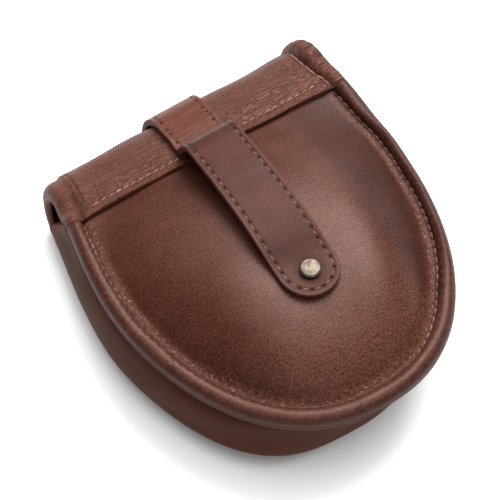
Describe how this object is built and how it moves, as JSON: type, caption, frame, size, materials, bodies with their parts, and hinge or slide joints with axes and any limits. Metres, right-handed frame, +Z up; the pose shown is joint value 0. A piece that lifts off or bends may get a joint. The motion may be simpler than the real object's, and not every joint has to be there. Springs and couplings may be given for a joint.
{
  "type": "waist pouch",
  "caption": "Soft leather belt pouch with a domed back panel, rolled edge, gusset, fold-over flap and a snap strap that loops over a belt, lying on its front.",
  "frame": {"origin": "middle of the footprint, on the surface that the pouch lies on", "axes": "+X across the pouch, +Y towards the folded top, +Z up out of the back panel"},
  "size_m": [0.1554, 0.1834, 0.062],
  "materials": {
    "panel_leather": "pull-up leather, satin, fine grain",
    "flap_leather": "pull-up leather, satin, finely creased",
    "strap_leather": "smooth waxed leather with dark raw edges",
    "snap_metal": "worn pale antique brass"
  },
  "bodies": {
    "root": {"back_panel": "panel_leather", "gusset": "panel_leather", "front_panel": "panel_leather", "flap": "flap_leather", "belt_strap": "strap_leather", "snap_cap": "snap_metal", "snap_back": "snap_metal"}
  },
  "joints": []
}
